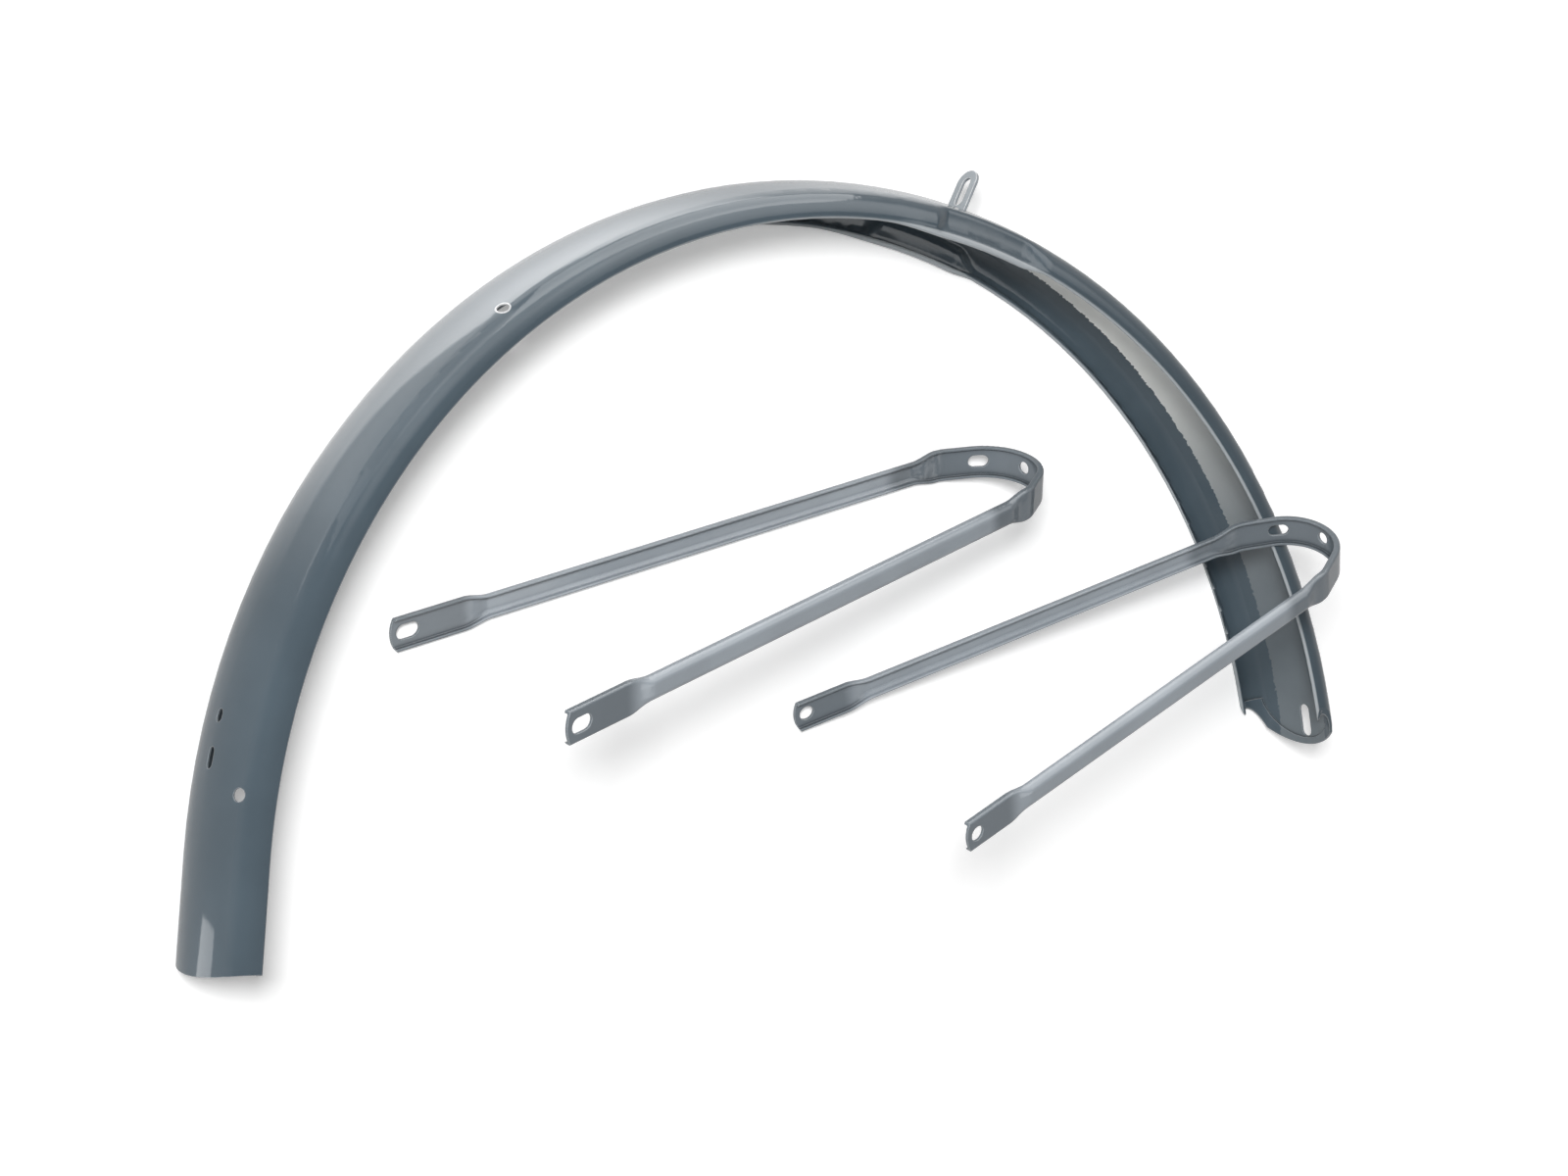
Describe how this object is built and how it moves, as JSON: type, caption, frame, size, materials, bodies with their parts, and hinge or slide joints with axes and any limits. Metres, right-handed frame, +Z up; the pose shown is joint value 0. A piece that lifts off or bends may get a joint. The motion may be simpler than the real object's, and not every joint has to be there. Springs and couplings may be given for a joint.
{
  "type": "bicycle rear mudguard with stays",
  "caption": "Pressed steel rear mudguard for a city bicycle: a long arched channel blade with a slotted bridge tab, laid out with its loose V-shaped channel stays.",
  "frame": {"origin": "centre of the whole layout's footprint, on the floor that the blade's far rim, the long stay's far leg and the short stay's far tab touch", "axes": "+Z up from the floor, which is the wheel axle's direction; +X towards the blade's front end; +Y from the wheel centre towards the top of the arch"},
  "size_m": [0.7332, 0.3606, 0.1401],
  "materials": {
    "blade": "gloss blue-grey paint",
    "bridge_tab": "gloss blue-grey paint",
    "slotted_stay": "gloss blue-grey paint",
    "round_eye_stay": "gloss blue-grey paint"
  },
  "bodies": {
    "root": {"blade": "blade", "bridge_tab": "bridge_tab", "slotted_stay": "slotted_stay", "round_eye_stay": "round_eye_stay"}
  },
  "joints": []
}
